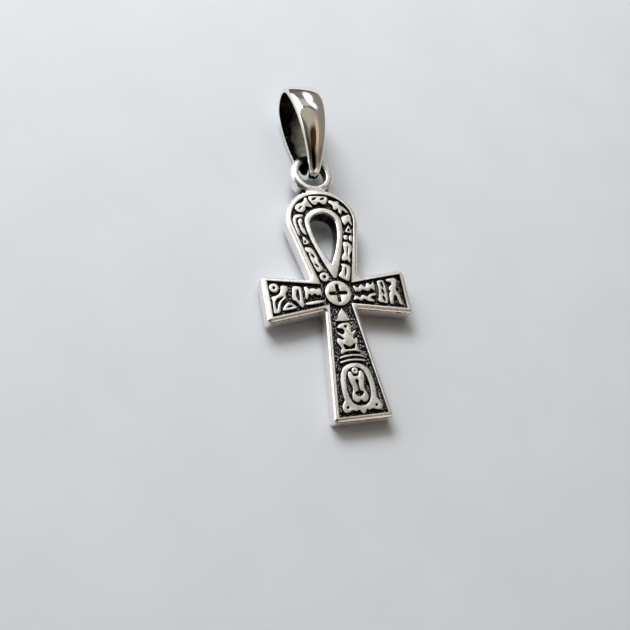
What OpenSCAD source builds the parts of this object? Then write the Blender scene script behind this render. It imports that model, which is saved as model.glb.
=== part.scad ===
// Ankh pendant in silver: a cast ankh with signs standing in a sunk ground, a round eye on its
// crown, and a teardrop bail that hangs through the eye.
// The ankh is drawn flat, its back on z = 0, its centre boss on the z axis and its eye toward +Y.
// It is then tipped a little and moved to lie as it does on a table: on the edge of its foot and
// on the belly of the bail, with the origin on the table under the middle of the whole.

/* [Plate] */
// Thickness of the cast plate
plate_t = 1.65; // [1.2:0.05:3]
// Depth of the sunk ground under the face
ground_depth = 0.35; // [0.15:0.05:0.6]
// Width and depth of the bevel round the front edge
edge_bevel = 0.24; // [0.1:0.02:0.3]

/* [Arms] */
// Width across both arms
arm_span = 15.25; // [13:0.25:22]
// Height of an arm's end above the middle of the boss
arm_end_up = 2.3; // [2:0.05:3.2]
// Depth of an arm's end below the middle of the boss
arm_end_down = 2.65; // [2.2:0.05:3.5]
// Height of an arm's top edge where it meets the loop
arm_root_up = 1.65; // [1.5:0.05:2]
// Depth of an arm's lower edge where it meets the stem
arm_root_down = 1.72; // [1.55:0.05:2.1]
// Rim between an arm's long edges and the sunk ground
arm_rim = 0.49; // [0.4:0.01:0.6]
// Rim at the end of an arm
arm_end_rim = 0.59; // [0.4:0.01:0.8]
// Radius of the plate's outer corners
corner_r = 0.35; // [0.35:0.05:0.6]
// Radius of the right arm's upper corner, which was buffed rounder than the others
buffed_corner_r = 0.7; // [0.35:0.05:0.8]
// Radius of the inner corners between the arms and the loop
crook_r = 0.4; // [0.2:0.05:0.8]
// Radius of the inner corners between the arms and the stem
armpit_r = 0.15; // [0.05:0.05:0.4]

/* [Stem] */
// Length of the stem from the middle of the boss to its foot
stem_len = 12.95; // [10:0.25:20]
// Half width of the stem where it meets the arms
stem_neck_half = 1.68; // [1.5:0.02:2]
// Half width of the stem at its foot
stem_foot_half = 3.02; // [2.4:0.05:4]
// Rim at the sides of the stem
stem_rim = 0.48; // [0.4:0.01:0.6]
// Rim at the foot of the stem
foot_rim = 0.44; // [0.35:0.01:0.7]

/* [Loop] */
// Height of the loop's crown above the middle of the boss
loop_top = 11.95; // [11:0.25:15]
// Half width of the loop
loop_half = 3.85; // [3.5:0.05:5]
// Height at which the loop is widest
loop_mid = 8.3; // [7.5:0.1:9.5]
// Half width of the loop's foot on the arms
loop_foot_half = 2.45; // [2.3:0.05:3]
// Rim at the sides of the loop
loop_rim = 0.52; // [0.4:0.02:0.65]
// Rim at the crown of the loop
crown_rim = 0.65; // [0.5:0.05:0.9]
// Half width of the sunk ground where the loop meets the arms
ground_foot_half = 1.6; // [1.5:0.05:1.8]

/* [Inner band] */
// Half width of the plain band round the hole of the loop
band_half = 1.97; // [1.7:0.05:2.1]
// Width of the sunk ground at the crown, between the rim and the band
crown_lane = 1.65; // [1.2:0.05:1.9]
// Height at which the band is widest
band_mid = 7.9; // [7.4:0.1:8.4]
// Width of the band at its sides and top
band_w = 0.59; // [0.45:0.02:0.7]
// Height of the pointed foot of the hole above the middle of the boss
hole_foot = 3.35; // [3:0.1:4.5]
// Bevel round the edges of the holes
hole_bevel = 0.12; // [0.06:0.02:0.2]

/* [Boss] */
// Radius of the round boss at the crossing
boss_r = 1.34; // [1.1:0.02:1.45]
// Length of the sunk cross in the boss
cross_len = 1.95; // [1.4:0.05:2.1]
// Width of the bars of the sunk cross
cross_w = 0.36; // [0.2:0.02:0.5]

/* [Eye] */
// Radius of the eye's outside at the face
eye_r = 2.3; // [2.1:0.05:2.6]
// How much wider the eye is at its back
eye_flare = 0.12; // [0:0.02:0.2]
// Radius of the eye's hole
eye_hole_r = 1.5; // [1.45:0.01:1.6]
// Thickness of the eye, its front level with the face
eye_t = 1.4; // [1:0.05:1.5]
// How far the eye runs into the crown of the loop
eye_sink = 0.35; // [0.2:0.05:0.45]
// Bevel of the eye's outer edge at the face
eye_bevel = 0.24; // [0.08:0.02:0.3]
// Half width of the metal that joins the eye to the crown
bridge_half = 0.9; // [0.6:0.05:1.1]

/* [Bail] */
// Length of the bail
bail_len = 11; // [9:0.25:16]
// Radius of the bend that hangs in the eye, at the edge of the band
bail_tip_r = 1.7; // [1.6:0.05:1.9]
// Radius of the far bend, at the edge of the band
bail_end_r = 2.3; // [2:0.05:2.8]
// Radius of the bowed front arm
bail_front_bow = 7; // [6.5:0.5:20]
// Radius of the bowed back arm
bail_back_bow = 16; // [10:1:30]
// How far the far bend lies above the near one
bail_rise = 0.35; // [0:0.05:0.8]
// Half width of the band in the eye
bail_tip_half = 0.57; // [0.4:0.01:0.62]
// Half width of the band at the far bend
bail_end_half = 1.8; // [1.2:0.05:2.2]
// Thickness of the band at its edges
bail_wall = 0.4; // [0.3:0.05:0.5]
// Height of the band's rounded back over its edges
bail_dome = 0.33; // [0.1:0.01:0.45]
// Gap between the bail and the underside of the eye
bail_gap = 0.1; // [0.06:0.02:0.2]
// Slack along the pendant between the bend of the bail and the eye's wall
bail_slack = 1.45; // [1.3:0.05:1.5]

/* [Hidden] */
$fn = 96;
// How far a cut runs past the face that it opens
eps = 0.05;
// How far a bevel's wedge stands past the edge that it takes off
wedge_over = 0.02;

arm_half = arm_span / 2;
loop_rise = loop_top - loop_mid;
ground_top = loop_top - crown_rim;
band_top = ground_top - crown_lane;
eye_y = loop_top + eye_r - eye_sink;
eye_under = plate_t - eye_t;

// The bail's two bends, in the plane of the pendant's length and thickness
bail_inner_r = bail_tip_r - bail_wall;
near_bend = [eye_y + eye_hole_r - bail_slack + bail_inner_r, eye_under - bail_gap + bail_inner_r];
far_bend = [near_bend.x + bail_len - bail_tip_r - bail_end_r - 2 * bail_dome, near_bend.y + bail_rise];
front_centre = bow_centre(bail_front_bow, -1);
back_centre = bow_centre(bail_back_bow, 1);

// The tip of the whole: the table touches the foot's back edge and the belly of the bail
foot_to_bow = back_centre + [stem_len, 0];
tilt = asin((bail_back_bow + bail_dome) / norm(foot_to_bow)) - atan2(foot_to_bow.y, foot_to_bow.x);
lift = stem_len * sin(tilt);
near_y = -stem_len * cos(tilt) - (plate_t - edge_bevel) * sin(tilt);
far_y = far_bend.x * cos(tilt) - far_bend.y * sin(tilt) + bail_end_r + bail_dome;

// Small helpers on points
function mix(a, b, share) = a + (b - a) * share;
function unit(v) = v / norm(v);
function left_of(v) = [-v.y, v.x];
function mirrored(points) = [for (i = [len(points) - 1:-1:0]) [-points[i].x, points[i].y]];

// A sign's half outline in its field, with its mirror image on the other side
function both(points) =
    concat(points, [for (i = [len(points) - 1:-1:0]) if (points[i].y != 0) [points[i].x, -points[i].y]]);

// Centre of an arm's bow of radius r, touching both bends, on the given side of the line through them
function bow_centre(r, side) =
    let (
        u = unit(far_bend - near_bend),
        d = norm(far_bend - near_bend),
        da = r - bail_tip_r,
        db = r - bail_end_r,
        x = (da * da - db * db + d * d) / (2 * d)
    )
    near_bend + u * x + side * left_of(u) * sqrt(da * da - x * x);

// Points of an ellipse's arc from angle a0 to a1, in even steps
function arc(centre, rx, ry, a0, a1, steps) =
    [for (i = [0:steps]) let (a = mix(a0, a1, i / steps)) centre + [rx * cos(a), ry * sin(a)]];

// Point at a share u of a curve from a to c that leaves and arrives toward b
function curve(a, b, c, u) = mix(mix(a, b, u), mix(b, c, u), u);

// The corner p of an outline, rounded to radius r between its neighbours before and after
function rounded(before, p, after, r, steps = 5) =
    let (
        d0 = unit(before - p),
        d1 = unit(after - p),
        half = acos(d0 * d1) / 2,
        centre = p + unit(d0 + d1) * r / sin(half),
        first = p + d0 * r / tan(half) - centre,
        last = p + d1 * r / tan(half) - centre,
        a0 = atan2(first.y, first.x),
        turn = atan2(first.x * last.y - first.y * last.x, first * last)
    )
    [for (i = [0:steps]) centre + r * [cos(a0 + turn * i / steps), sin(a0 + turn * i / steps)]];

// Each outline with its corners cut once, so that a sign has no sharp points
function softened(points) =
    [for (i = [0:len(points) - 1]) let (p = points[i], q = points[(i + 1) % len(points)])
        each [mix(p, q, 0.22), mix(p, q, 0.78)]];

// The outline moved inward by d on its right-hand side, along each of its edges
function inset(points, d) =
    let (n = len(points))
    [for (i = [0:n - 1])
        let (
            n0 = -left_of(unit(points[i] - points[(i + n - 1) % n])),
            n1 = -left_of(unit(points[(i + 1) % n] - points[i]))
        )
        points[i] + d * (n0 + n1) / (1 + n0 * n1)];

// Angle on an ellipse at which its tangent runs down to the point p, on the right
function tangent_angle(p, centre, rx, ry) =
    let (q = [(p.x - centre.x) / rx, (p.y - centre.y) / ry]) atan2(q.y, q.x) + acos(1 / norm(q));

// Height at x of the line through a and b, moved down by the rim measured square to it
function line_y(a, b, x, rim) =
    let (slope = (b.y - a.y) / (b.x - a.x)) a.y + (x - a.x) * slope - rim * sqrt(1 + slope * slope);

// Outer corners of the right half
loop_foot = [loop_foot_half, arm_root_up];
arm_top = [arm_half, arm_end_up];
arm_low = [arm_half, -arm_end_down];
neck = [stem_neck_half, -arm_root_down];
foot = [stem_foot_half, -stem_len];

// The right half, its arm's upper corner rounded to top_r
function outline_half(top_r) =
    let (
        mid = [0, loop_mid],
        a = tangent_angle(loop_foot, mid, loop_half, loop_rise),
        loop = arc(mid, loop_half, loop_rise, 90, a, 32)
    )
    concat(
        [for (i = [1:32]) loop[i]],
        rounded(loop[32], loop_foot, arm_top, crook_r),
        rounded(loop_foot, arm_top, arm_low, top_r),
        rounded(arm_top, arm_low, neck, corner_r),
        rounded(arm_low, neck, foot, armpit_r, 3),
        rounded(neck, foot, [0, -stem_len], corner_r)
    );
outline = concat([[0, loop_top]], outline_half(buffed_corner_r), mirrored(outline_half(corner_r)));

// Edges of the sunk ground
arm_out = arm_half - arm_end_rim;
ground_foot_y = -stem_len + foot_rim;
function arm_up_y(x) = line_y(loop_foot, arm_top, x, arm_rim);
function arm_low_y(x) = line_y(neck, arm_low, x, -arm_rim);
function stem_half(y) =
    let (slope = (foot.x - neck.x) / (neck.y - foot.y)) neck.x + (neck.y - y) * slope - stem_rim;
ground_corner = [ground_foot_half, arm_up_y(ground_foot_half)];
ground_mid = [0, loop_mid];
ground_rx = loop_half - loop_rim;
ground_ry = ground_top - loop_mid;
ground_angle = tangent_angle(ground_corner, ground_mid, ground_rx, ground_ry);
inner_corner_y = arm_low_y(stem_half(-boss_r));
ground_half = concat(
    arc(ground_mid, ground_rx, ground_ry, 90, ground_angle, 24),
    [ground_corner, [arm_out, arm_up_y(arm_out)], [arm_out, arm_low_y(arm_out)]],
    [[stem_half(inner_corner_y), inner_corner_y], [stem_half(ground_foot_y), ground_foot_y]]
);
ground = concat(ground_half, mirrored([for (i = [1:len(ground_half) - 1]) ground_half[i]]));

// The plain band round the loop's hole, drawn from its crown down its right side
band_rise = band_top - band_mid;
band_sink = 0.04;
band_foot = boss_r - band_sink;
function band_side(u) =
    curve([band_half, band_mid], [band_half, mix(band_foot, band_mid, 0.7)], [0, band_foot], u);
// Share of the side's length at which the band's point meets the boss
spear = 0.96;
band_right = concat(
    arc([0, band_mid], band_half, band_rise, 90, 0, 16),
    [for (i = [1:12]) band_side(i / 12 * spear)]
);
band = concat(band_right, mirrored([for (i = [1:len(band_right) - 1]) band_right[i]]));
hole_half = band_half - band_w;
hole_drop = 0.15;
hole_mid = band_mid - hole_drop;
hole_right = concat(
    arc([0, hole_mid], hole_half, band_top - band_w - hole_mid, 90, 0, 16),
    [for (i = [1:12])
        curve([hole_half, hole_mid], [hole_half, mix(hole_foot, hole_mid, 0.56)], [0, hole_foot], i / 12)]
);
hole = concat(hole_right, mirrored([for (i = [1:len(hole_right) - 2]) hole_right[i]]));

// Where a sign's point lies. A point is given in shares of its field: along it, then across it.
arm_in = boss_r + 0.01;
function on_arm(side, p) =
    let (x = mix(arm_in, arm_out, p.x)) [side * x, mix(arm_low_y(x), arm_up_y(x), p.y)];
function on_stem(p) = let (y = mix(-boss_r, ground_foot_y, p.x)) [p.y * stem_half(y), y];

// The lane of the loop runs from its left foot, 0, over the crown, 0.5, to its right foot, 1
lane_leg = 0.3;
lane_start = arc(ground_mid, ground_rx, ground_ry, ground_angle, 0, 1)[0];
function lane_edges(q) =
    q < lane_leg
        ? [band_side(1 - q / lane_leg), mix(ground_corner, lane_start, q / lane_leg)]
        : let (u = (q - lane_leg) / (0.5 - lane_leg), a = mix(ground_angle, 90, u))
            [[band_half * cos(90 * u), band_mid + band_rise * sin(90 * u)],
             ground_mid + [ground_rx * cos(a), ground_ry * sin(a)]];
function on_lane(p) =
    let (q = min(p.x, 1 - p.x), edges = lane_edges(q), r = mix(edges[0], edges[1], p.y))
    [p.x < 0.5 ? -r.x : r.x, r.y];

function on_field(field, p) =
    field == "lane" ? on_lane(p)
    : field == "stem" ? on_stem(p)
    : on_arm(field == "left arm" ? -1 : 1, p);

// Width of a field at a share of its length, which the round signs are sized by
function field_w(field, s) =
    field == "stem" ? norm(on_field(field, [s, 1]) - on_field(field, [s, -1]))
    : norm(on_field(field, [s, 1]) - on_field(field, [s, 0]));

// A sign: an outline in shares of its field, with any slits cut through its relief
module sign(field, points, slits = []) {
    difference() {
        polygon(softened([for (p = points) on_field(field, p)]));
        for (slit = slits) polygon(softened([for (p = slit) on_field(field, p)]));
    }
}

// A round dot, or a ring where it has a hole, both radii in shares of the field's width
module ring_sign(field, at, r, hole_r = 0) {
    w = field_w(field, at.x);
    translate(on_field(field, at)) difference() {
        circle(r * w);
        if (hole_r > 0) circle(hole_r * w);
    }
}

module left_arm_signs() {
    // Sun ring
    ring_sign("left arm", [0.9, 0.8], 0.13, 0.038);
    // Seated figure
    sign("left arm",
        [[0.78, 0.86], [0.75, 0.88], [0.665, 0.86], [0.65, 0.82], [0.675, 0.71], [0.705, 0.65],
         [0.715, 0.58], [0.71, 0.51], [0.725, 0.46], [0.8, 0.39], [0.84, 0.27], [0.86, 0.07],
         [0.975, 0.07], [0.975, 0.12], [0.965, 0.44], [0.98, 0.5], [0.97, 0.54], [0.86, 0.58],
         [0.81, 0.64], [0.785, 0.75]],
        [[[0.752, 0.55], [0.92, 0.46], [0.925, 0.2], [0.91, 0.16], [0.896, 0.2], [0.87, 0.36],
          [0.76, 0.5]]]);
    // Loaf
    sign("left arm",
        [[0.81, 0.1], [0.81, 0.16], [0.75, 0.29], [0.7, 0.335], [0.65, 0.32], [0.6, 0.24],
         [0.555, 0.16], [0.555, 0.1]],
        [[[0.745, 0.17], [0.72, 0.21], [0.68, 0.24], [0.63, 0.225], [0.615, 0.18]]]);
    // Feather
    sign("left arm",
        [[0.575, 0.83], [0.55, 0.87], [0.43, 0.865], [0.415, 0.83], [0.42, 0.17], [0.44, 0.1],
         [0.475, 0.1], [0.515, 0.22], [0.54, 0.33], [0.62, 0.42], [0.595, 0.65]],
        [[[0.5, 0.75], [0.472, 0.74], [0.474, 0.45], [0.488, 0.31], [0.51, 0.36], [0.537, 0.54]]]);
    // Water line with its teeth
    sign("left arm",
        [[0.37, 0.84], [0.34, 0.87], [0.31, 0.85], [0.28, 0.75], [0.205, 0.82], [0.145, 0.75],
         [0.09, 0.82], [0.062, 0.78], [0.068, 0.45], [0.085, 0.42], [0.1, 0.53], [0.145, 0.48],
         [0.2, 0.59], [0.25, 0.48], [0.305, 0.6], [0.325, 0.4], [0.345, 0.37], [0.375, 0.39],
         [0.36, 0.65]]);
    // Bar
    sign("left arm",
        [[0.395, 0.2], [0.37, 0.25], [0.06, 0.26], [0.035, 0.2], [0.055, 0.145], [0.37, 0.135]]);
}

module right_arm_signs() {
    // Upper water line
    sign("right arm",
        [[0.06, 0.82], [0.08, 0.86], [0.15, 0.71], [0.21, 0.87], [0.235, 0.85], [0.29, 0.69],
         [0.325, 0.88], [0.355, 0.88], [0.4, 0.78], [0.445, 0.89], [0.47, 0.84], [0.465, 0.6],
         [0.44, 0.55], [0.395, 0.67], [0.33, 0.54], [0.28, 0.58], [0.23, 0.64], [0.17, 0.53],
         [0.12, 0.59], [0.09, 0.5]]);
    // Lower water line, forked at its end
    sign("right arm",
        [[0.02, 0.18], [0.05, 0.35], [0.085, 0.4], [0.15, 0.27], [0.2, 0.41], [0.225, 0.41],
         [0.28, 0.32], [0.34, 0.43], [0.465, 0.47], [0.465, 0.38], [0.38, 0.35], [0.34, 0.28],
         [0.38, 0.24], [0.42, 0.17], [0.38, 0.125], [0.29, 0.135], [0.225, 0.245], [0.15, 0.12],
         [0.1, 0.22], [0.04, 0.15]]);
    // Tall block with three slits
    sign("right arm",
        [[0.53, 0.87], [0.55, 0.91], [0.645, 0.91], [0.67, 0.8], [0.678, 0.5], [0.66, 0.12],
         [0.61, 0.09], [0.565, 0.12], [0.47, 0.135], [0.51, 0.35], [0.537, 0.65]],
        [for (k = [0:2])
            [for (p = [[0.597, 0.84], [0.62, 0.84], [0.642, 0.68], [0.622, 0.63], [0.59, 0.75]])
                p - k * [0.01, 0.24]]]);
    // Striding figure
    sign("right arm",
        [[0.7, 0.915], [0.91, 0.92], [0.9, 0.72], [0.85, 0.55], [0.91, 0.4], [0.94, 0.1],
         [0.91, 0.08], [0.875, 0.09], [0.86, 0.27], [0.83, 0.385], [0.81, 0.385], [0.775, 0.28],
         [0.76, 0.1], [0.73, 0.08], [0.695, 0.1], [0.71, 0.43], [0.76, 0.5], [0.725, 0.54],
         [0.74, 0.65], [0.81, 0.73], [0.79, 0.79], [0.73, 0.82]]);
}

module stem_signs() {
    // Triangle
    sign("stem",
        [[0.026, 0], [0.036, 0.07], [0.128, 0.42], [0.143, 0.49], [0.147, 0.4], [0.147, -0.48],
         [0.142, -0.64], [0.126, -0.53], [0.036, -0.08]]);
    // Owl
    difference() {
        sign("stem",
            [[0.21, -0.64], [0.178, -0.45], [0.165, -0.1], [0.165, 0.32], [0.2, 0.42], [0.258, 0.28],
             [0.25, 0.46], [0.233, 0.66], [0.252, 0.64], [0.285, 0.42], [0.32, 0.34], [0.32, 0.46],
             [0.302, 0.56], [0.33, 0.62], [0.37, 0.48], [0.415, 0.48], [0.445, 0.62], [0.43, 0.25],
             [0.43, -0.25], [0.455, -0.62], [0.42, -0.55], [0.4, -0.48], [0.35, -0.72], [0.315, -0.74],
             [0.295, -0.64], [0.32, -0.42], [0.315, -0.22], [0.29, -0.44], [0.262, -0.66],
             [0.25, -0.56], [0.272, -0.34], [0.268, -0.18], [0.24, -0.12], [0.218, -0.24]],
            [[[0.357, -0.38], [0.376, -0.15], [0.393, 0.02], [0.378, 0.15], [0.357, 0.4],
              [0.376, 0.36], [0.406, 0.31], [0.411, 0.2], [0.411, -0.24], [0.406, -0.32]]]);
        translate(on_stem([0.2, 0])) circle(0.05 * field_w("stem", 0.2));
    }
    // Two bowed bars
    for (s = [0.467, 0.509])
        sign("stem",
            concat(
                [for (t = [-0.7:0.2:0.7]) [s - 0.009 + 0.035 * t * t, t]],
                [for (t = [0.7:-0.2:-0.7]) [s + 0.009 + 0.035 * t * t, t]]
            ));
    // Cartouche with its knotted foot, and the jar sign inside it
    difference() {
        sign("stem",
            both([[0.538, 0], [0.545, 0.3], [0.565, 0.52], [0.6, 0.69], [0.65, 0.78], [0.72, 0.8],
                [0.79, 0.78], [0.862, 0.69], [0.88, 0.78], [0.925, 0.85], [0.965, 0.79], [0.97, 0.62],
                [0.95, 0.42], [0.965, 0.26], [0.95, 0.15], [0.988, 0.06]]),
            [both([[0.577, 0.12], [0.6, 0.37], [0.65, 0.5], [0.73, 0.555], [0.82, 0.51], [0.89, 0.37],
                [0.92, 0.14]])]);
        for (side = [-1, 1])
            translate(on_stem([0.925, side * 0.61])) circle(0.027 * field_w("stem", 0.925));
    }
    ring_sign("stem", [0.608, 0], 0.083, 0.018);
    sign("stem",
        both([[0.658, 0], [0.656, 0.14], [0.62, 0.19], [0.606, 0.3], [0.64, 0.41], [0.68, 0.38],
            [0.74, 0.28], [0.78, 0.26], [0.82, 0.35], [0.86, 0.36], [0.89, 0.2], [0.885, 0.08],
            [0.864, 0]]),
        [both([[0.68, 0], [0.702, 0.09], [0.724, 0.04], [0.79, 0.04], [0.797, 0.2], [0.825, 0.16],
            [0.84, 0]])]);
}

module lane_signs() {
    // Sun ring at the left foot
    ring_sign("lane", [0.026, 0.53], 0.33, 0.11);
    // Folded cloth with two slits
    sign("lane",
        [[0.052, 0.86], [0.1, 0.88], [0.142, 0.85], [0.15, 0.75], [0.16, 0.9], [0.17, 0.97], [0.185, 0.93],
         [0.172, 0.6], [0.155, 0.3], [0.14, 0.29], [0.13, 0.23], [0.103, 0.23], [0.09, 0.35], [0.053, 0.24]],
        [[[0.067, 0.56], [0.08, 0.7], [0.093, 0.74], [0.09, 0.62], [0.072, 0.52]],
         [[0.111, 0.47], [0.12, 0.6], [0.139, 0.69], [0.136, 0.55], [0.118, 0.45]]]);
    // Left triangle
    sign("lane",
        [[0.178, 0.22], [0.23, 0.52], [0.23, 0.69], [0.215, 0.74], [0.202, 0.9], [0.191, 0.75]],
        [[[0.195, 0.5], [0.197, 0.7], [0.207, 0.73], [0.212, 0.6]]]);
    // Crook and the bent arm inside it
    sign("lane",
        [[0.243, 0.86], [0.252, 0.97], [0.28, 0.93], [0.32, 0.94], [0.345, 0.84], [0.36, 0.6], [0.368, 0.2],
         [0.352, 0.17], [0.343, 0.48], [0.33, 0.66], [0.3, 0.71], [0.265, 0.65]]);
    sign("lane",
        [[0.22, 0.16], [0.235, 0.38], [0.25, 0.49], [0.29, 0.55], [0.325, 0.53], [0.339, 0.4], [0.334, 0.2],
         [0.318, 0.17], [0.305, 0.3], [0.28, 0.27], [0.26, 0.18]]);
    // Fish: an oval with a slit, and its tail
    sign("lane",
        [[0.373, 0.6], [0.377, 0.81], [0.39, 0.92], [0.407, 0.92], [0.422, 0.77], [0.436, 0.79],
         [0.448, 0.96], [0.456, 0.92], [0.45, 0.6], [0.456, 0.2], [0.446, 0.17], [0.43, 0.4], [0.42, 0.42], [0.41, 0.29],
         [0.39, 0.28], [0.377, 0.4]],
        [[[0.386, 0.6], [0.4, 0.66], [0.414, 0.6], [0.4, 0.55]]]);
    // Two lobes side by side
    sign("lane",
        [[0.461, 0.9], [0.47, 0.94], [0.5, 0.87], [0.537, 0.92], [0.541, 0.6], [0.534, 0.33], [0.52, 0.27],
         [0.498, 0.46], [0.482, 0.27], [0.466, 0.28], [0.459, 0.6]],
        [[[0.469, 0.61], [0.476, 0.75], [0.495, 0.78], [0.487, 0.64]],
         [[0.506, 0.57], [0.512, 0.73], [0.528, 0.79], [0.521, 0.6]]]);
    // Reed branch
    sign("lane",
        [[0.546, 0.7], [0.57, 0.74], [0.582, 0.88], [0.59, 0.86], [0.587, 0.72], [0.63, 0.86], [0.645, 0.82],
         [0.643, 0.67], [0.618, 0.6], [0.638, 0.33], [0.634, 0.23], [0.622, 0.24], [0.6, 0.46], [0.598, 0.2],
         [0.588, 0.16], [0.57, 0.44], [0.548, 0.46]]);
    // Folded wings
    sign("lane",
        [[0.653, 0.84], [0.668, 0.85], [0.685, 0.8], [0.702, 0.94], [0.71, 0.86], [0.684, 0.6], [0.717, 0.28],
         [0.71, 0.15], [0.66, 0.13], [0.654, 0.4]]);
    // Right triangle
    sign("lane",
        [[0.705, 0.58], [0.735, 0.79], [0.747, 0.91], [0.754, 0.7], [0.763, 0.24], [0.74, 0.38]],
        [[[0.729, 0.56], [0.735, 0.71], [0.745, 0.72], [0.749, 0.5], [0.738, 0.48]]]);
    // Pair of blocks
    sign("lane", [[0.762, 0.9], [0.768, 0.95], [0.793, 0.94], [0.797, 0.8], [0.793, 0.64], [0.77, 0.64]]);
    sign("lane", [[0.774, 0.46], [0.78, 0.52], [0.797, 0.5], [0.806, 0.36], [0.811, 0.15], [0.788, 0.14]]);
    // Knotted tie
    sign("lane",
        [[0.811, 0.55], [0.812, 0.85], [0.822, 0.97], [0.84, 0.95], [0.87, 0.75], [0.895, 0.89], [0.908, 0.8],
         [0.897, 0.57], [0.913, 0.36], [0.915, 0.15], [0.897, 0.11], [0.871, 0.34], [0.85, 0.12],
         [0.832, 0.1], [0.822, 0.22]],
        [[[0.828, 0.56], [0.85, 0.61], [0.892, 0.56], [0.85, 0.49]]]);
    // Flared block with a slit
    sign("lane",
        [[0.921, 0.85], [0.932, 0.91], [0.985, 0.9], [0.995, 0.8], [0.983, 0.2], [0.976, 0.1], [0.957, 0.28],
         [0.94, 0.26], [0.931, 0.1], [0.924, 0.4]],
        [[[0.933, 0.5], [0.945, 0.62], [0.968, 0.64], [0.978, 0.57], [0.955, 0.5]]]);
}

module boss() {
    difference() {
        circle(boss_r);
        for (turn = [0, 90]) rotate(turn) {
            square([cross_len - cross_w, cross_w], center = true);
            for (side = [-1, 1]) translate([side * (cross_len - cross_w) / 2, 0]) circle(d = cross_w);
        }
    }
}

// Plan of what is cut out of the face: the sunk ground, less all that stands in it
module sunk_ground() {
    difference() {
        polygon(ground);
        polygon(band);
        boss();
        left_arm_signs();
        right_arm_signs();
        stem_signs();
        lane_signs();
    }
}

// Triangles that join n rings of k points each, the last ring to the first
function band_faces(n, k) =
    [for (i = [0:n - 1], j = [0:k - 1])
        let (i1 = (i + 1) % n, j1 = (j + 1) % k, a = i * k + j, c = i1 * k + j1)
        each [[a, i * k + j1, c], [a, c, i1 * k + j]]];

// The wedge of metal that a bevel takes off an outline's front edge. The metal lies on the inside
// of the outline, or outside it where size is below 0.
module edge_wedge(points, size) {
    out = size > 0 ? wedge_over : -wedge_over;
    function ring(d, z) = [for (p = inset(points, d)) [p.x, p.y, z]];
    flat_edge = ring(size + out, plate_t + wedge_over);
    wall_edge = ring(-out, plate_t - abs(size) - wedge_over);
    corner = ring(-out, plate_t + wedge_over);
    polyhedron(
        size > 0 ? concat(flat_edge, wall_edge, corner) : concat(wall_edge, flat_edge, corner),
        band_faces(3, len(points)),
        convexity = 10
    );
}

module plate() {
    difference() {
        linear_extrude(plate_t) polygon(outline);
        edge_wedge(outline, edge_bevel);
    }
}

module eye() {
    c = hole_bevel;
    translate([0, eye_y, eye_under]) rotate_extrude()
        polygon([
            [eye_hole_r, c], [eye_hole_r + c, 0], [eye_r + eye_flare - c, 0], [eye_r + eye_flare, c],
            [eye_r, eye_t - eye_bevel], [eye_r - eye_bevel, eye_t],
            [eye_hole_r + c, eye_t], [eye_hole_r, eye_t - c]
        ]);
}

// Metal that joins the eye to the crown, level with the face
module bridge() {
    low = loop_top - crown_rim / 2;
    translate([-bridge_half, low, eye_under])
        cube([2 * bridge_half, eye_y - eye_hole_r - hole_bevel - low, eye_t]);
}

module ankh_flat() {
    difference() {
        union() {
            plate();
            eye();
            bridge();
        }
        translate([0, 0, -eps]) linear_extrude(plate_t + 2 * eps) polygon(hole);
        edge_wedge(hole, -hole_bevel);
        translate([0, 0, plate_t - ground_depth]) linear_extrude(ground_depth + eps) sunk_ground();
    }
}

// The bail's bends and bows in turn, each step as its centre, its radius and its angle
function turns(centre, r, a0, a1, steps) = [for (i = [0:steps - 1]) [centre, r, mix(a0, a1, i / steps)]];
function angle_to(from, to) = atan2(to.y - from.y, to.x - from.x);
bail_path =
    let (
        f0 = angle_to(front_centre, near_bend),
        f1 = angle_to(front_centre, far_bend),
        b0 = angle_to(back_centre, near_bend),
        b1 = angle_to(back_centre, far_bend)
    )
    concat(
        turns(front_centre, bail_front_bow, f0, f1, 14),
        turns(far_bend, bail_end_r, f1, b1, 20),
        turns(back_centre, bail_back_bow, b1, b0, 12),
        turns(near_bend, bail_tip_r, b0, f0 - 360, 18)
    );
function on_turn(turn, d) = turn[0] + (turn[1] + d) * [cos(turn[2]), sin(turn[2])];
function band_half_at(y) =
    let (near = near_bend.x - bail_tip_r, far = far_bend.x + bail_end_r)
    mix(bail_tip_half, bail_end_half, sin(90 * (y - near) / (far - near)));

// The band's section: across in half widths, and out from its edge
dome_steps = 8;
bail_section = concat(
    [[-1, -bail_wall], [1, -bail_wall]],
    [for (k = [0:dome_steps]) let (a = 180 * k / dome_steps) [cos(a), bail_dome * sin(a)]]
);

module bail_flat() {
    points = [for (turn = bail_path, p = bail_section)
        let (at = on_turn(turn, p.y)) [p.x * band_half_at(on_turn(turn, 0).x), at.x, at.y]];
    polyhedron(points, band_faces(len(bail_path), len(bail_section)), convexity = 6);
}

// Tips a flat-drawn piece as the pendant lies, over the origin
module lying() {
    translate([0, -(near_y + far_y) / 2, lift]) rotate([tilt, 0, 0]) children();
}

module ankh() {
    color([0.78, 0.78, 0.75]) lying() ankh_flat();
}

module bail() {
    color([0.66, 0.65, 0.63]) lying() bail_flat();
}

ankh();
bail();
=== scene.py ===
"""An ankh pendant in oxidised silver, lying on paper."""
import math

import bmesh
import bpy
from mathutils import Matrix, Quaternion, Vector


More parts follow.
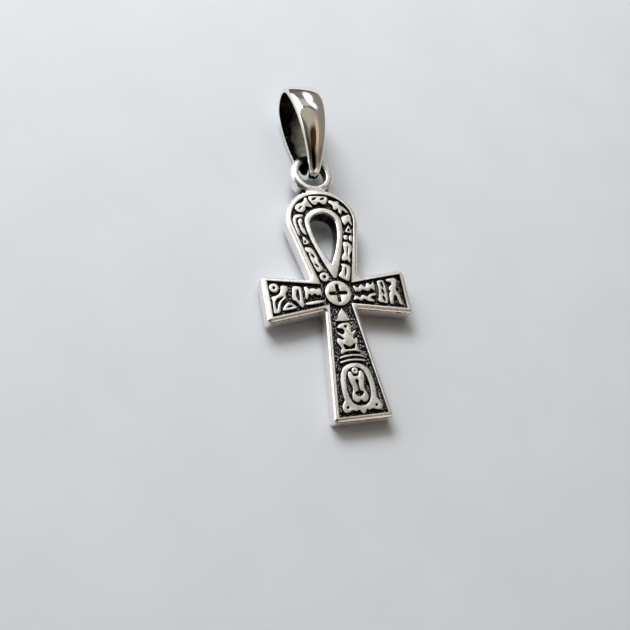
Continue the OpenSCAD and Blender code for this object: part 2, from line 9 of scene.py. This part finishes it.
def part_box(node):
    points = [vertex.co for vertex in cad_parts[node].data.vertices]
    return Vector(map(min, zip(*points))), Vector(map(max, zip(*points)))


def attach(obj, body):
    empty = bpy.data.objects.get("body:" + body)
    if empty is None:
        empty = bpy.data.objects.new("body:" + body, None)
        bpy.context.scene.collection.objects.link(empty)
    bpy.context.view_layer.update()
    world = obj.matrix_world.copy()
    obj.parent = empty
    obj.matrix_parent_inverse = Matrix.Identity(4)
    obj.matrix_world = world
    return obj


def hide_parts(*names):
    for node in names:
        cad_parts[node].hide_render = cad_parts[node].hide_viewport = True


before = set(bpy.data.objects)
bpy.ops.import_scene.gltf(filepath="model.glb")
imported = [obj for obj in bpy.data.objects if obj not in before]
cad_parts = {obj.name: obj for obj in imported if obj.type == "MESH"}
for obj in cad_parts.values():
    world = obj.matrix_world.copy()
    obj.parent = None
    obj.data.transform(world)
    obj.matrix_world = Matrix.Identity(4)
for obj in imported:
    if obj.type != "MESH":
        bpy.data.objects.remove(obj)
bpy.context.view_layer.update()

# Ankh. The real piece is one silver casting: a flat ankh with a sunk ground in its face, signs
# standing in it and a round eye on its crown. It was cast in a mould, tumbled, blackened in a
# sulphur bath, and then polished on its rim and its high parts, which left the ground dark.
MM = 0.001
weld = 0.002 * MM
near = 0.01 * MM
top_round = 0.05 * MM
shoulder_round = 0.1 * MM
hole_round = 0.035 * MM
flat_within = math.radians(0.6)
edge_from = math.radians(25)
smooth_within = math.radians(40)
# How much of a face's normal points up the plate: more than this where the face is level, less than
# this where it is steep enough to be filed with the wall, and less than this where it is a wall
level = 0.99
steep = 0.5
upright = 0.2
# The loop's hole and the eye's, and the corners of the bridge between them, by their way from the foot
loop_hole_reach = (16.0 * MM, 22.4 * MM)
loop_hole_half = 1.6 * MM
eye_from_foot = 26.85 * MM
eye_hole_r = 1.6 * MM
bridge_corner = (0.95 * MM, 24.78 * MM)
corner_reach = 0.3 * MM
finishes = ["rim", "ground", "feet", "sides", "blackened", "walls"]


def start_from(node, name):
    """A new piece of a CAD node's own form, with its loose triangles joined at their corners."""
    bpy.ops.object.select_all(action="DESELECT")
    piece = bpy.data.objects.new(name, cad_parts[node].data.copy())
    bpy.context.collection.objects.link(piece)
    piece.select_set(True)
    bpy.context.view_layer.objects.active = piece
    piece.data.materials.clear()
    bpy.ops.object.mode_set(mode="EDIT")
    bpy.ops.mesh.select_all(action="SELECT")
    bpy.ops.mesh.remove_doubles(threshold=weld)
    return piece


def pick_edges(piece, wanted):
    """Selects in edit mode the edges for which wanted(edge) is true."""
    bpy.ops.object.mode_set(mode="EDIT")
    bpy.ops.mesh.select_mode(type="EDGE")
    bpy.ops.mesh.select_all(action="DESELECT")
    mesh = bmesh.from_edit_mesh(piece.data)
    for edge in mesh.edges:
        if len(edge.link_faces) == 2 and wanted(edge):
            edge.select_set(True)
    bmesh.update_edit_mesh(piece.data)


ankh = start_from("ankh", "ankh_casting")
bpy.ops.mesh.dissolve_limited(angle_limit=flat_within)
bpy.ops.object.mode_set(mode="OBJECT")
back = max(ankh.data.polygons, key=lambda face: face.area)
plate_up = -back.normal.copy()
plate_back = back.center.copy()
plate_along = plate_up.cross(Vector((1, 0, 0)))
foot = min(plate_along.dot(v.co) for v in ankh.data.vertices)


def height(point):
    """How far a point lies above the plate's back."""
    return (point - plate_back).dot(plate_up)


def from_foot(point):
    """How far a point lies from the foot, along the plate."""
    return plate_along.dot(point) - foot


def faces_up(face):
    return face.normal.dot(plate_up) > level


def is_wall(face):
    return abs(face.normal.dot(plate_up)) < upright


def in_hole(point):
    """Whether a point lies in the loop's hole or the eye's, or on its edge."""
    way = from_foot(point)
    in_loop = loop_hole_reach[0] < way < loop_hole_reach[1] and abs(point.x) < loop_hole_half
    return in_loop or math.hypot(way - eye_from_foot, point.x) < eye_hole_r


def at_bridge_corner(point):
    """Whether a point lies in a corner beside the short bridge between the loop and the eye."""
    across = abs(point.x) - bridge_corner[0]
    return math.hypot(across, from_foot(point) - bridge_corner[1]) < corner_reach


plate_t = max(height(v.co) for v in ankh.data.vertices)
ground_height = min(
    height(face.center)
    for face in ankh.data.polygons
    if faces_up(face) and height(face.center) > plate_t / 2
)


def finish_of(face):
    """Which of the casting's finishes a face has."""
    low = min(height(ankh.data.vertices[i].co) for i in face.vertices)
    if faces_up(face):
        return "rim" if low > plate_t - near else "ground"
    if not is_wall(face):
        return "sides"
    if low > ground_height - near and not at_bridge_corner(face.center):
        return "feet"
    return "blackened" if in_hole(face.center) else "walls"


for face in ankh.data.polygons:
    face.material_index = finishes.index(finish_of(face))
wall_height = max(
    height(ankh.data.vertices[i].co)
    for face in ankh.data.polygons
    if face.material_index == finishes.index("walls")
    for i in face.vertices
)


def on_finish(*names):
    return lambda face: finishes[face.material_index] in names


def between(edge, one, other):
    """Whether an edge's two faces meet the two tests, either way round."""
    a, b = edge.link_faces
    return one(a) and other(b) or one(b) and other(a)


is_side = on_finish("sides", "walls", "blackened")
is_side_or_rim = on_finish("sides", "walls", "blackened", "rim")


def is_sign_edge(edge):
    """Whether an edge runs round the top of a sign or along the rim above the ground."""
    at_top = all(plate_t - height(v.co) < near for v in edge.verts)
    return at_top and between(edge, on_finish("rim"), on_finish("feet"))


def is_outer_edge(edge, at_hole):
    """Whether an edge runs round the plate, or round one of its holes, on its face or its back."""
    return (
        edge.calc_face_angle() > edge_from
        and between(edge, is_side, is_side_or_rim)
        and not all(is_wall(f) for f in edge.link_faces)
        and not any(at_bridge_corner(v.co) for v in edge.verts)
        and all(in_hole(v.co) for v in edge.verts) == at_hole
    )


pick_edges(ankh, is_sign_edge)
bpy.ops.mesh.bevel(offset=top_round, segments=3, clamp_overlap=False, material=finishes.index("rim"))
pick_edges(ankh, lambda edge: is_outer_edge(edge, False))
bpy.ops.mesh.bevel(offset=shoulder_round, segments=3, clamp_overlap=False, material=finishes.index("sides"))
# The walls of the holes keep their own finish up to the edge, and have room for a small round only
pick_edges(ankh, lambda edge: is_outer_edge(edge, True))
bpy.ops.mesh.bevel(offset=hole_round, segments=3, clamp_overlap=True, material=-1)
bpy.ops.object.mode_set(mode="OBJECT")
for face in ankh.data.polygons:
    if on_finish("sides")(face) and abs(face.normal.dot(plate_up)) < steep:
        face.material_index = finishes.index("walls")
bpy.ops.object.shade_smooth_by_angle(angle=smooth_within)
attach(ankh, "ankh")
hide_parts("ankh")


def srgb(code):
    """A colour written as sRGB hex, as the linear values that a shader takes."""
    parts = [int(code[i : i + 2], 16) / 255 for i in (1, 3, 5)]
    return (*[c / 12.92 if c <= 0.04045 else ((c + 0.055) / 1.055) ** 2.4 for c in parts], 1)


def add(tree, kind, inputs=None, **settings):
    """A node with its settings, its values and its links: an input given a socket is linked to it."""
    node = tree.nodes.new(kind)
    for name, value in settings.items():
        setattr(node, name, value)
    for name, value in (inputs or {}).items():
        if isinstance(value, bpy.types.NodeSocket):
            tree.links.new(value, node.inputs[name])
        else:
            node.inputs[name].default_value = value
    return node


def start_material(name):
    material = bpy.data.materials.new(name)
    material.use_nodes = True
    material.node_tree.nodes.clear()
    return material, material.node_tree


def finish_material(tree, shader):
    add(tree, "ShaderNodeOutputMaterial", {"Surface": shader.outputs[0]})


spot_core = 0.35


def in_spot(tree, place, middle, half_sizes):
    """A value that rises from 0 at an oval spot's edge to 1 at its core."""
    inside = add(tree, "ShaderNodeMapping", {
        "Vector": place, "Location": middle, "Scale": half_sizes}, vector_type="TEXTURE")
    fade = add(tree, "ShaderNodeTexGradient", {"Vector": inside.outputs[0]}, gradient_type="SPHERICAL")
    return add(tree, "ShaderNodeMapRange", {
        "Value": fade.outputs["Fac"], "From Max": spot_core}).outputs[0]


# Tumbled sterling silver: the rim and the tops of the signs. Steel shot has beaten it to a soft
# satin with a faint swell, and a last wipe left a little tarnish in its low spots. Under the bail
# the eye is painted near black: painted shade, where the bail covers the eye.
swell_width = 0.9 * MM
tarnish_width = 0.35 * MM
shot_mark = 0.14 * MM
# Painted shade: the eye is painted near black in this spot, where the bail covers it
bail_shade_spot = Vector((0, 10.3, 2)) * MM
bail_shade_size = Vector((2.0, 1.3, 6)) * MM
tumbled_silver, tree = start_material("tumbled_silver")
place = add(tree, "ShaderNodeTexCoord").outputs["Object"]
swell = add(tree, "ShaderNodeTexNoise", {"Vector": place, "Scale": 1 / swell_width, "Detail": 1.0})
tarnish = add(tree, "ShaderNodeTexNoise", {
    "Vector": place, "Scale": 1 / tarnish_width, "Detail": 3.0, "Roughness": 0.6})
shot = add(tree, "ShaderNodeTexNoise", {"Vector": place, "Scale": 1 / shot_mark, "Detail": 2.0})
in_low_spots = add(tree, "ShaderNodeMapRange", {
    "Value": tarnish.outputs[0], "From Min": 0.52, "From Max": 0.72, "To Max": 0.6})
wiped = add(tree, "ShaderNodeMix", {
    "Factor": in_low_spots.outputs[0], "A": srgb("#F4F4F1"), "B": srgb("#A7A5A0")}, data_type="RGBA")
colour = add(tree, "ShaderNodeMix", {
    "Factor": in_spot(tree, place, bail_shade_spot, bail_shade_size),
    "A": wiped.outputs["Result"],
    "B": srgb("#1C1B1A"),
}, data_type="RGBA")
satin = add(tree, "ShaderNodeMapRange", {"Value": shot.outputs[0], "To Min": 0.4, "To Max": 0.56})
swelling = add(tree, "ShaderNodeBump", {
    "Height": swell.outputs[0], "Strength": 0.5, "Distance": 0.06 * MM})
marks = add(tree, "ShaderNodeBump", {
    "Height": shot.outputs[0], "Strength": 0.5, "Distance": 0.012 * MM, "Normal": swelling.outputs[0]})
finish_material(tree, add(tree, "ShaderNodeBsdfPrincipled", {
    "Base Color": colour.outputs["Result"],
    "Metallic": 1.0,
    "Roughness": satin.outputs[0],
    "Normal": marks.outputs[0],
}))

# Silver sulphide on a punched ground: black in the hollows, grey where the grain's tips were rubbed.
# The real grain is too fine to show in the render, so its grains are drawn 0.15 mm wide.
grain_width = 0.15 * MM
tip_contrast = 4.0
sulphide_ground, tree = start_material("sulphide_ground")
place = add(tree, "ShaderNodeTexCoord").outputs["Object"]
grain = add(tree, "ShaderNodeTexVoronoi", {
    "Vector": place, "Scale": 1 / grain_width, "Smoothness": 0.6}, feature="SMOOTH_F1")
patchy = add(tree, "ShaderNodeTexNoise", {"Vector": place, "Scale": 1 / (4 * grain_width), "Detail": 2.0})
tips = add(tree, "ShaderNodeMath", {
    0: grain.outputs["Distance"], 1: -tip_contrast, 2: patchy.outputs[0]}, operation="MULTIPLY_ADD")
rubbed = add(tree, "ShaderNodeMapRange", {"Value": tips.outputs[0], "From Min": -1.35, "From Max": 0.25})
colour = add(tree, "ShaderNodeMix", {
    "Factor": rubbed.outputs[0], "A": srgb("#1A1A1C"), "B": srgb("#D4D4D6")}, data_type="RGBA")
grains = add(tree, "ShaderNodeBump", {
    "Height": grain.outputs["Distance"], "Strength": 1.0, "Distance": 0.1 * MM}, invert=True)
finish_material(tree, add(tree, "ShaderNodeBsdfPrincipled", {
    "Base Color": colour.outputs["Result"],
    "Metallic": 1.0,
    "Roughness": 0.38,
    "Normal": grains.outputs[0],
}))

# Silver sulphide that no polishing reached, at the feet of the signs: a dull, nearly black crust.
crust_width = 0.2 * MM
sulphide_crust, tree = start_material("sulphide_crust")
place = add(tree, "ShaderNodeTexCoord").outputs["Object"]
crust = add(tree, "ShaderNodeTexNoise", {"Vector": place, "Scale": 1 / crust_width, "Detail": 3.0})
colour = add(tree, "ShaderNodeMix", {
    "Factor": crust.outputs[0], "A": srgb("#0B0A0A"), "B": srgb("#2C2A29")}, data_type="RGBA")
finish_material(tree, add(tree, "ShaderNodeBsdfPrincipled", {
    "Base Color": colour.outputs["Result"], "Metallic": 0.6, "Roughness": 0.5}))

# Wiped sterling silver: the casting's bevels and back, buffed by hand and never quite flat. It draws
# a soft bright line along the edges.
buffing_swell = 0.7 * MM
wiped_silver, tree = start_material("wiped_silver")
place = add(tree, "ShaderNodeTexCoord").outputs["Object"]
swell = add(tree, "ShaderNodeTexNoise", {"Vector": place, "Scale": 1 / buffing_swell, "Detail": 2.0})
haze = add(tree, "ShaderNodeTexNoise", {"Vector": place, "Scale": 1 / tarnish_width, "Detail": 3.0})
buffed = add(tree, "ShaderNodeMapRange", {"Value": haze.outputs[0], "To Min": 0.18, "To Max": 0.34})
swelling = add(tree, "ShaderNodeBump", {
    "Height": swell.outputs[0], "Strength": 0.5, "Distance": 0.035 * MM})
# Painted shade: the bevels are painted near black too where the bail covers the eye
colour = add(tree, "ShaderNodeMix", {
    "Factor": in_spot(tree, place, bail_shade_spot, bail_shade_size),
    "A": srgb("#EFEDE7"),
    "B": srgb("#1C1B1A"),
}, data_type="RGBA")
finish_material(tree, add(tree, "ShaderNodeBsdfPrincipled", {
    "Base Color": colour.outputs["Result"],
    "Metallic": 1.0,
    "Roughness": buffed.outputs[0],
    "Normal": swelling.outputs[0],
}))

# Blackened sterling silver: the walls of the two holes, dipped and left with a dark shine, through
# which the silver shows in thin spots.
dip_width = 0.5 * MM
blackened_silver, tree = start_material("blackened_silver")
place = add(tree, "ShaderNodeTexCoord").outputs["Object"]
dip = add(tree, "ShaderNodeTexNoise", {
    "Vector": place, "Scale": 1 / dip_width, "Detail": 5.0, "Roughness": 0.65})
thin = add(tree, "ShaderNodeMapRange", {"Value": dip.outputs[0], "From Min": 0.48, "From Max": 0.7})
colour = add(tree, "ShaderNodeMix", {
    "Factor": thin.outputs[0], "A": srgb("#080808"), "B": srgb("#9A9794")}, data_type="RGBA")
pits = add(tree, "ShaderNodeBump", {
    "Height": dip.outputs[0], "Strength": 0.4, "Distance": 0.02 * MM})
finish_material(tree, add(tree, "ShaderNodeBsdfPrincipled", {
    "Base Color": colour.outputs["Result"],
    "Metallic": 1.0,
    "Roughness": 0.22,
    "Normal": pits.outputs[0],
}))

# Filed sterling silver: the casting's outer walls, left with the satin of a fine file, whose strokes
# are drawn coarser than real ones so that they show. The notches beside the eye are painted black:
# painted shade in the corners there. A broken dark line is painted under the bevel on the walls that
# face the foot: a painted dark reflection.
file_mark = 0.3 * MM
reflection_line_width = 0.5 * MM
# Painted shade: the corners beside the eye are painted near black in this spot
notch_shade_spot = Vector((0, 6.25, 1)) * MM
notch_shade_size = Vector((2.3, 1.0, 6)) * MM
filed_silver, tree = start_material("filed_silver")
where = add(tree, "ShaderNodeTexCoord")
place = where.outputs["Object"]
strokes = add(tree, "ShaderNodeTexNoise", {"Vector": place, "Scale": 1 / file_mark, "Detail": 3.0})
up = add(tree, "ShaderNodeVectorMath", {0: place, 1: plate_up}, operation="DOT_PRODUCT")
wall_top = plate_back.dot(plate_up) + wall_height
# Painted reflection: a broken dark line under the bevel, only on the walls that face the foot
reflection_line_band = add(tree, "ShaderNodeMapRange", {
    "Value": up.outputs["Value"],
    "From Min": wall_top - reflection_line_width,
    "From Max": wall_top - shoulder_round / 2,
})
normal = add(tree, "ShaderNodeSeparateXYZ", {"Vector": where.outputs["Normal"]})
reflection_line_side = add(tree, "ShaderNodeMapRange", {
    "Value": normal.outputs["Y"], "From Min": -0.3, "From Max": -0.6})
reflection_line_mask = add(tree, "ShaderNodeMath", {
    0: reflection_line_band.outputs[0], 1: reflection_line_side.outputs[0], 2: strokes.outputs[0],
}, operation="MULTIPLY_ADD")
left = add(tree, "ShaderNodeMapRange", {"Value": reflection_line_mask.outputs[0], "From Min": 0.85, "From Max": 1.0})
with_reflection_line = add(tree, "ShaderNodeMix", {
    "Factor": left.outputs[0], "A": srgb("#F2EDEC"), "B": srgb("#2E2219")}, data_type="RGBA")
# Painted shade in the notches beside the eye
colour = add(tree, "ShaderNodeMix", {
    "Factor": in_spot(tree, place, notch_shade_spot, notch_shade_size),
    "A": with_reflection_line.outputs["Result"],
    "B": srgb("#191817"),
}, data_type="RGBA")
satin = add(tree, "ShaderNodeMapRange", {"Value": strokes.outputs[0], "To Min": 0.34, "To Max": 0.5})
marks = add(tree, "ShaderNodeBump", {
    "Height": strokes.outputs[0], "Strength": 0.4, "Distance": 0.02 * MM})
finish_material(tree, add(tree, "ShaderNodeBsdfPrincipled", {
    "Base Color": colour.outputs["Result"],
    "Metallic": 1.0,
    "Roughness": satin.outputs[0],
    "Normal": marks.outputs[0],
}))
# In the order of the list of finishes
in_order = (tumbled_silver, sulphide_ground, sulphide_crust, wiped_silver, blackened_silver, filed_silver)
for material in in_order:
    ankh.data.materials.append(material)

# Bail. The real piece is one band of silver, bent round into a teardrop and soldered shut, its
# inside flat and blackened, its back rounded and polished to a mirror. It hangs in the eye.
band_edge_round = 0.06 * MM
band_edge_from = math.radians(50)
band_smooth_within = math.radians(60)
pair_within = math.radians(30)
skew_within = math.radians(60)
edgeways_from = 0.5
bail = start_from("bail", "teardrop_bail")
bpy.ops.mesh.tris_convert_to_quads(face_threshold=pair_within, shape_threshold=skew_within)
bpy.ops.object.mode_set(mode="OBJECT")
pick_edges(bail, lambda edge: edge.calc_face_angle() > band_edge_from)
bpy.ops.mesh.bevel(offset=band_edge_round, segments=2, clamp_overlap=False)
bpy.ops.object.mode_set(mode="OBJECT")
smooth = bail.modifiers.new("smooth", "SUBSURF")
smooth.levels = smooth.render_levels = 2
bpy.ops.object.modifier_apply(modifier=smooth.name)
bpy.ops.object.shade_smooth_by_angle(angle=band_smooth_within)
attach(bail, "bail")
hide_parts("bail")

# Polished sterling silver: buffed with rouge to a mirror that still swells a little, so that the
# room's picture in it is drawn out and soft at its edges.
mirror_swell = 2.5 * MM
polished_silver, tree = start_material("polished_silver")
place = add(tree, "ShaderNodeTexCoord").outputs["Object"]
swell = add(tree, "ShaderNodeTexNoise", {"Vector": place, "Scale": 1 / mirror_swell, "Detail": 1.0})
haze = add(tree, "ShaderNodeTexNoise", {"Vector": place, "Scale": 1 / tarnish_width, "Detail": 3.0})
mirror = add(tree, "ShaderNodeMapRange", {"Value": haze.outputs[0], "To Min": 0.03, "To Max": 0.09})
swelling = add(tree, "ShaderNodeBump", {
    "Height": swell.outputs[0], "Strength": 0.3, "Distance": 0.05 * MM})
finish_material(tree, add(tree, "ShaderNodeBsdfPrincipled", {
    "Base Color": srgb("#EFEDE8"),
    "Metallic": 1.0,
    "Roughness": mirror.outputs[0],
    "Normal": swelling.outputs[0],
}))

# Blackened silver: the bail's inside, dipped dark, with the marks of the tool that bent it, and painted
# a lighter grey in one broad spot: a painted reflection. It lets the eye see into the bail.
tool_mark = 0.9 * MM
reflection_strength = 0.55
painted_reflection_spot = Vector((0.5, 13.8, 0)) * MM
painted_reflection_size = Vector((1.5, 3.6, 40)) * MM
black_silver_and_reflection, tree = start_material("black_silver_and_reflection")
place = add(tree, "ShaderNodeTexCoord").outputs["Object"]
dip = add(tree, "ShaderNodeTexNoise", {
    "Vector": place, "Scale": 1 / tool_mark, "Detail": 3.0, "Roughness": 0.6})
# Painted reflection: the spot is painted lighter grey, with the tool marks over it
reflection_and_marks = add(tree, "ShaderNodeMath", {
    0: in_spot(tree, place, painted_reflection_spot, painted_reflection_size), 1: reflection_strength, 2: dip.outputs[0],
}, operation="MULTIPLY_ADD")
thin = add(tree, "ShaderNodeMapRange", {"Value": reflection_and_marks.outputs[0], "From Min": 0.6, "From Max": 1.3})
colour = add(tree, "ShaderNodeMix", {
    "Factor": thin.outputs[0], "A": srgb("#1B1A1A"), "B": srgb("#D0CCC6")}, data_type="RGBA")
pits = add(tree, "ShaderNodeBump", {
    "Height": dip.outputs[0], "Strength": 0.3, "Distance": 0.03 * MM})
finish_material(tree, add(tree, "ShaderNodeBsdfPrincipled", {
    "Base Color": colour.outputs["Result"],
    "Metallic": 1.0,
    "Roughness": 0.3,
    "Normal": pits.outputs[0],
}))
bail.data.materials.append(polished_silver)
bail.data.materials.append(black_silver_and_reflection)
bail_middle = sum(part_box("bail"), Vector()) / 2
for face in bail.data.polygons:
    edgeways = abs(face.normal.x) > edgeways_from
    inward = face.normal.dot(bail_middle - face.center) > 0
    face.material_index = int(inward and not edgeways)

# Paper under the pendant: a pale sheet, seen as a plain floor. It lies a hair lower than the
# pendant's lowest point, so that the two never share a plane.
paper_size = 2.0
paper_drop = 0.02 * MM
bpy.ops.object.select_all(action="DESELECT")
bpy.ops.mesh.primitive_plane_add(size=paper_size, location=(0, 0, -paper_drop))
paper = bpy.context.object
paper.name = "paper"
bpy.ops.object.transform_apply(location=True, rotation=True, scale=True)
# Wove drawing paper: felted fibres, matt, with a faint cloudiness in its weight. Its fibres are
# drawn coarser than real ones, so that their felt shows.
fibre_width = 0.25 * MM
cloud_width = 9 * MM
drawing_paper, tree = start_material("drawing_paper")
place = add(tree, "ShaderNodeTexCoord").outputs["Object"]
clouds = add(tree, "ShaderNodeTexNoise", {"Vector": place, "Scale": 1 / cloud_width, "Detail": 2.0})
fibres = add(tree, "ShaderNodeTexNoise", {"Vector": place, "Scale": 1 / fibre_width, "Detail": 3.0})
colour = add(tree, "ShaderNodeMix", {
    "Factor": clouds.outputs[0], "A": srgb("#C5CAD0"), "B": srgb("#CED2D7")}, data_type="RGBA")
felt = add(tree, "ShaderNodeBump", {
    "Height": fibres.outputs[0], "Strength": 0.3, "Distance": 0.03 * MM})
finish_material(tree, add(tree, "ShaderNodeBsdfPrincipled", {
    "Base Color": colour.outputs["Result"],
    "Roughness": 0.9,
    "Normal": felt.outputs[0],
}))
paper.data.materials.append(drawing_paper)

# Light: a large soft window behind the pendant and to its left, in a plain room with a pale ceiling
# and a darker near side, which polished silver needs to show its form.
window_place = (-17, 46)
window_distance = 0.3
window_size = (0.19, 0.108)
window_power = 0.86
ceiling_way = Vector((-0.02, 0.56, 0.83)).normalized()
ceiling_distance = 0.28
ceiling_size = (0.26, 0.15)
ceiling_power = 0.18
room_colour = "#8A847E"
# Each patch of the room: its middle and half widths in degrees, its lean to the right, how much of
# its width is a soft edge, its colour and its strength
patches = [
    ((0, 25), (34, 38), 0, 0.5, "#B0AC9F", 1),
    ((20, 88), (75, 12), 0, 0.5, "#6A5E60", 1),
    ((-22, 2), (26, 24), 0, 0.8, "#5A5449", 1),
    ((-44, -28), (46, 30), 0, 0.5, "#403D33", 1),
    ((-72, 46), (42, 34), 0, 0.3, "#FFFFFF", 2.2),
    ((50, -34), (24, 18), 0, 0.6, "#7A6856", 1),
    ((54, -50), (12, 8), 0, 0.6, "#BCA591", 1),
    ((6, -18), (15, 36), 24, 0.4, "#3E2A1A", 1),
    ((-2, -52), (28, 32), 0, 0.5, "#080505", 1),
    ((33, -12), (10, 40), 0, 0.6, "#9A8875", 1),
    ((25, -6), (6, 36), 0, 0.4, "#D0BDA6", 1),
    ((37, -78), (19, 24), 0, 0.4, "#F0DFCA", 1.1),
    ((-18, 65), (24, 14), 0, 0.3, "#FFFFFF", 1.4),
    ((11, 51), (9, 12), 0, 0.5, "#BCBFBD", 1),
    ((11, 70), (9, 12), 0, 0.5, "#7E7677", 1),
    ((23.5, 63), (5.2, 20), 18, 0.4, "#FFFFFF", 1.4),
    ((25, 48), (5.6, 12), -16, 0.5, "#FFFFFF", 1.2),
    ((7, 41.5), (10, 2.2), -12, 0.6, "#5A554E", 1),
    ((21, 40), (9, 2.2), 34, 0.6, "#5A554E", 1),
]
# How deep each patch is toward the pendant: large, so that the room's curve doesn't cut it short
patch_depth = 2.0


def toward(right, away):
    """The way to a point of the room, given in degrees from overhead, to the right and away."""
    from_overhead = math.hypot(right, away)
    side = math.sin(math.radians(from_overhead)) / from_overhead
    return Vector((side * right, side * away, math.cos(math.radians(from_overhead))))


def add_lamp(way, distance, size, power):
    """A flat lamp that hangs this way from the pendant and shines at it."""
    bpy.ops.object.light_add(type="AREA", location=way * distance)
    lamp = bpy.context.object
    lamp.data.shape = "RECTANGLE"
    lamp.data.size, lamp.data.size_y = size
    lamp.data.energy = power
    lamp.rotation_euler = way.to_track_quat("Z", "Y").to_euler()
    return lamp


world = bpy.data.worlds.new("room")
world.use_nodes = True
bpy.context.scene.world = world
tree = world.node_tree
tree.nodes.clear()
way = add(tree, "ShaderNodeTexCoord").outputs["Generated"]
room = srgb(room_colour)
for (right, away), (half_right, half_away), lean, soft, code, strength in patches:
    middle = toward(right, away)
    rightward = (toward(right + 1, away) - toward(right - 1, away)).normalized()
    rightward.rotate(Quaternion(middle, -math.radians(lean)))
    axes = Matrix((rightward, middle.cross(rightward), middle)).transposed()
    spot = add(tree, "ShaderNodeMapping", {
        "Vector": way,
        "Location": middle,
        "Rotation": axes.to_euler(),
        "Scale": (math.sin(math.radians(half_right)), math.sin(math.radians(half_away)), patch_depth),
    }, vector_type="TEXTURE")
    fade = add(tree, "ShaderNodeTexGradient", {"Vector": spot.outputs[0]}, gradient_type="SPHERICAL")
    edge = add(tree, "ShaderNodeMapRange", {
        "Value": fade.outputs["Fac"], "From Max": soft}, interpolation_type="SMOOTHSTEP")
    room = add(tree, "ShaderNodeMix", {
        "Factor": edge.outputs[0], "A": room, "B": [c * strength for c in srgb(code)],
    }, data_type="RGBA").outputs["Result"]
background = add(tree, "ShaderNodeBackground", {"Color": room, "Strength": 1.0})
add(tree, "ShaderNodeOutputWorld", {"Surface": background.outputs[0]})
add_lamp(toward(*window_place), window_distance, window_size, window_power)
# The pale ceiling's own light softens the shadows on the paper, and the silver has it from the room
ceiling = add_lamp(ceiling_way, ceiling_distance, ceiling_size, ceiling_power)
ceiling.light_linking.receiver_collection = bpy.data.collections.new("lit_by_ceiling")
ceiling.light_linking.receiver_collection.objects.link(paper)
bpy.context.scene.view_settings.view_transform = "Standard"

# Camera, as the photograph was taken: from close above the foot's left, a phone held askew.
photo_width = 630
focal_pixels = 811
film_width = 36
camera_place = Vector((-28.448, -38.018, 69.618)) * MM
camera_heading = math.radians(40.246)
camera_elevation = math.radians(59.649)
camera_roll = math.radians(-32.341)
bpy.ops.object.camera_add()
camera = bpy.context.object
camera.data.lens = focal_pixels / photo_width * film_width
camera.data.clip_start = 1 * MM
camera.matrix_world = (
    Matrix.Translation(camera_place)
    @ Matrix.Rotation(-camera_heading, 4, "Z")
    @ Matrix.Rotation(math.radians(90) - camera_elevation, 4, "X")
    @ Matrix.Rotation(-camera_roll, 4, "Z")
)
bpy.context.scene.camera = camera
